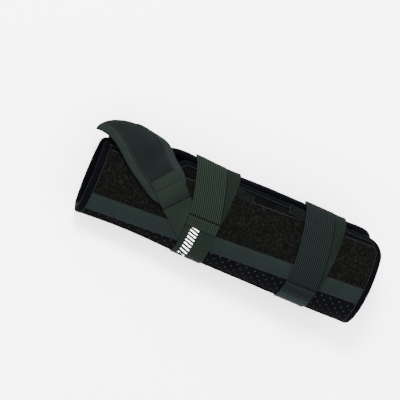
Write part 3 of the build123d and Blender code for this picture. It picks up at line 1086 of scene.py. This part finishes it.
PAD_HAND_EDGE = thumb_points(
    [(-65.5, -6.6), (-72.9, -6.9), (-90.6, 1.2), (-105.5, 10.5), (-121.7, 23.6), (-135.7, 30.6)],
    -146.0, 33.5)
PAD_ELBOW_EDGE = thumb_points(
    [(-51.5, 9.5), (-58.3, 23.1), (-72.2, 34.6), (-86.8, 43.0)],
    -104.0, 29.0)
PAD_INSIDE, RIM_INSIDE = 2.1, 1.9
PAD_RIM = 7.5                     # width of a rim
PAD_END_BOW = 9.0                 # how far the thumb end bows out past a straight line
PAD_TOP, RIM_TOP = 4.6, 5.9


def pad_where(u, v):
    """(x, l) on the pad: u from the webbing to the thumb end, v from hand edge to elbow edge."""
    a, b = path_at(PAD_HAND_EDGE, u), path_at(PAD_ELBOW_EDGE, u)
    bow = PAD_END_BOW * smooth(0.55, 1.0, u) * 4 * v * (1 - v)
    return lerp(a[0], b[0], v) - 0.75 * bow, lerp(a[1], b[1], v) + 0.65 * bow


@cache
def rim_share(u):
    """Share of the pad's width that one rim takes at u."""
    return min(0.4, PAD_RIM / math.dist(pad_where(u, 0.0), pad_where(u, 1.0)))


def pad_line(number, inset):
    """(x, l) points along the pad, inset rim widths from one long edge."""
    points = []
    for i in range(81):
        u = lerp(0.03, 0.97, i / 80)
        share = rim_share(u) * inset
        points.append(pad_where(u, 1 - share if number else share))
    return points


def make_pad():
    def cushioned(x, l, u, v):
        side = rim_share(u)
        dip = smooth(0.5 * side, 1.3 * side, v) * smooth(0.5 * side, 1.3 * side, 1 - v)
        return PAD_TOP + 0.5 - 0.5 * dip + 0.22 * wobble(x, l, 13, 11.0)

    pad = slab(
        "thumb_padding", THUMB, 90, 60, pad_where, flat(PAD_INSIDE), cushioned, M["pad"],
        edge=0.04, end=0.03)
    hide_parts("thumb_pad", "thumb_pad_hook")
    return pad


def make_pad_rim(name, number):
    def where(u, v):
        share = rim_share(u) * v
        return pad_where(u, 1 - share if number else share)

    def raised(x, l, u, v):
        swell = (4 * v * (1 - v)) ** 0.5 if 0 < v < 1 else 0.0
        return PAD_TOP - 0.4 + (RIM_TOP - PAD_TOP + 0.4) * swell + 0.2 * wobble(x, l, 10, 12.0)

    rim = slab(
        f"thumb_{name}_rim", THUMB, 90, 24, where, flat(RIM_INSIDE), raised, M["rim"],
        edge=0.12, end=0.02)
    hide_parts(f"thumb_pad_{name}_rim")
    return rim


def make_thumb_strap():
    pieces = [make_pad(), make_pad_rim("hand", 0), make_pad_rim("elbow", 1)]
    for number in (0, 1):
        for name, inset, level in (("thumb", 1.1, PAD_TOP + 0.35), ("rim", 0.25, RIM_TOP - 0.5)):
            path = pad_line(number, inset)
            pieces.append(stitch_row(f"{name}_stitches_{number}", THUMB, path, level, M["thread"]))
    for piece in pieces + make_webbing():
        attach(piece, "thumb_strap")


WEBBING_START = ((-85.2, 5.6), (-67.5, 25.6))
WEBBING_AHEAD = (0.775, -0.632)
WEBBING_SWINGS = 25.8             # length from its start to its hinge line
WEBBING_BENDS = 26.0              # length to the line where it reaches the back panel
WEBBING_SEWN = (56.6, 32.9)       # lengths from its start to its two edges' sewn ends
WEBBING_BARS = (9.0, 20.5)        # cross stitching, from its start


def webbing_point(along, v):
    """Plan point: along the webbing from its start, v from 0 to 1 across it."""
    (ax, ay), (bx, by) = WEBBING_START
    return lerp(ax, bx, v) + WEBBING_AHEAD[0] * along, lerp(ay, by, v) + WEBBING_AHEAD[1] * along


def webbing_where(starts, ends):
    """where() between two distances along the webbing, each given for both edges."""
    def where(u, v):
        x, y = webbing_point(lerp(lerp(*starts, v), lerp(*ends, v), u), v)
        return x, ARM.l_at_y(x, y)

    return where


def webbing_level(along):
    """Middle of the webbing's thickness: on the pad first, then down to the back panel."""
    return 6.0 - 4.0 * smooth(20.0, WEBBING_BENDS, along)


def make_webbing():
    def inside(x, l, u, v):
        return webbing_level(u * WEBBING_BENDS) - 0.7

    def outside(x, l, u, v):
        along = u * WEBBING_BENDS
        pull = sum(math.exp(-(((along - bar) / 1.0) ** 2)) for bar in WEBBING_BARS)
        return webbing_level(along) + 0.75 - 0.45 * pull + 0.12 * wobble(x, l, 8, 13.0)

    where = webbing_where((0.0, 0.0), (WEBBING_SWINGS, WEBBING_SWINGS))
    tab = slab(
        "thumb_webbing_tab", ARM, 60, 30, where, inside, outside, M["webbing"], edge=0.03, end=0.03)
    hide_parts("thumb_webbing", "thumb_webbing_top")
    pieces = [tab]
    for number, bar in enumerate(WEBBING_BARS):
        for side, step in enumerate((-0.6, 0.6)):
            points = [webbing_point(bar + step, lerp(0.05, 0.95, i / 20)) for i in range(21)]
            path = [(x, ARM.l_at_y(x, y)) for x, y in points]
            pieces.append(stitch_row(
                f"webbing_bar_{number}_{side}", ARM, path, webbing_level(bar + step) + 0.45,
                M["dark_thread"], pitch=1.5, length=1.6, radius=0.4))
    return pieces


def make_webbing_base():
    start = WEBBING_SWINGS + 0.6
    where = webbing_where((start, start), WEBBING_SEWN)
    piece = slab(
        "thumb_webbing_end", ARM, 30, 30, where, flat(0.7), flat(2.5), M["webbing"],
        edge=0.03, end=0.03)
    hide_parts("thumb_webbing_base")
    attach(piece, "dorsal_half")


ANCHOR_X, ANCHOR_Z = (-128.0, -107.0), (37.0, 8.5)


def make_anchor():
    """Strip on the palm half that the thumb strap's hooks hold."""
    def where(u, v):
        x = lerp(*ANCHOR_X, u)
        top, bottom = [THUMB.l_at_z(x, z, 1) for z in ANCHOR_Z]
        return x, lerp(top, bottom, v)

    piece = slab(
        "thumb_anchor_strip", THUMB, 24, 40, where, flat(-0.9), flat(0.9), M["webbing"],
        edge=0.02, end=0.05)
    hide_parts("thumb_anchor")
    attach(piece, "palmar_half")


# ---- light, floor and camera
VIEW_TILT_HAND = math.radians(12)
VIEW_TILT_THUMB = math.radians(1.5)
ROLL = math.radians(22.274)
FRAME_WIDTH = 0.3554
VIEW_DISTANCE = 2.4
CAMERA_SHIFT = (-0.0213, 0.0172)  # of the point it looks at, in metres across and up the frame
TARGET_HEIGHT = 0.045
FLOOR_SIZE = 3.0
SKY_STRENGTH = 4.6
LIGHTS = (("key", (-0.6, 0.9, 1.5), 0.5, 110), ("fill", (0.9, -0.8, 1.4), 1.2, 20))


def make_camera():
    out = Vector((-math.sin(VIEW_TILT_HAND), math.sin(VIEW_TILT_THUMB), 1.0))
    out.z = math.sqrt(1 - out.x**2 - out.y**2)
    along = (Vector((1, 0, 0)) - out * out.x).normalized()
    right = Matrix.Rotation(ROLL, 3, out) @ along
    up = out.cross(right)
    target = CENTRING / 1000 + right * CAMERA_SHIFT[0] + up * CAMERA_SHIFT[1] + out * TARGET_HEIGHT
    camera = bpy.data.objects.new("camera", bpy.data.cameras.new("camera"))
    camera.data.sensor_width = 36
    camera.data.lens = 36 * VIEW_DISTANCE / FRAME_WIDTH
    camera.data.clip_end = 20
    turned = Matrix((right, up, out)).transposed().to_4x4()
    camera.matrix_world = Matrix.Translation(target + out * VIEW_DISTANCE) @ turned
    bpy.context.scene.collection.objects.link(camera)
    bpy.context.scene.camera = camera


def make_floor():
    mesh = bpy.data.meshes.new("floor")
    corners = [(-1, -1), (1, -1), (1, 1), (-1, 1)]
    mesh.from_pydata([(x * FLOOR_SIZE, y * FLOOR_SIZE, 0) for x, y in corners], [], [(0, 1, 2, 3)])
    n = Nodes("floor", 0.9, 0.0, 0.2)
    n.finish(n.ramp(n.noise(400, 2), [(0.3, (0.94, 0.94, 0.94)), (0.7, (0.95, 0.95, 0.95))]))
    mesh.materials.append(n.material)
    floor = bpy.data.objects.new("floor", mesh)
    floor.location.z = -0.0005
    bpy.context.scene.collection.objects.link(floor)


def make_lights():
    world = bpy.data.worlds.new("world")
    world.use_nodes = True
    sky = world.node_tree.nodes["Background"]
    sky.inputs["Color"].default_value = (1, 1, 1, 1)
    sky.inputs["Strength"].default_value = SKY_STRENGTH
    bpy.context.scene.world = world
    for name, place, size, power in LIGHTS:
        light = bpy.data.objects.new(name, bpy.data.lights.new(name, "AREA"))
        light.data.size = size
        light.data.energy = power
        light.location = place
        light.rotation_euler = (-Vector(place)).to_track_quat("-Z", "Y").to_euler()
        bpy.context.scene.collection.objects.link(light)


# ---- build
def main():
    make_camera()
    make_floor()
    make_lights()
    for piece in make_back():
        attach(piece, "dorsal_half")
    for piece in make_palm():
        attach(piece, "palmar_half")
    make_gusset()
    for strap in (WRIST, FOREARM):
        make_strap(strap)
        make_strap_base(strap)
    make_thumb_strap()
    make_webbing_base()
    make_anchor()
    for node in ("dorsal_stay", "palmar_stay"):
        for material_slot in frame["nodes"][node].material_slots:
            material_slot.material = M["metal"]


main()
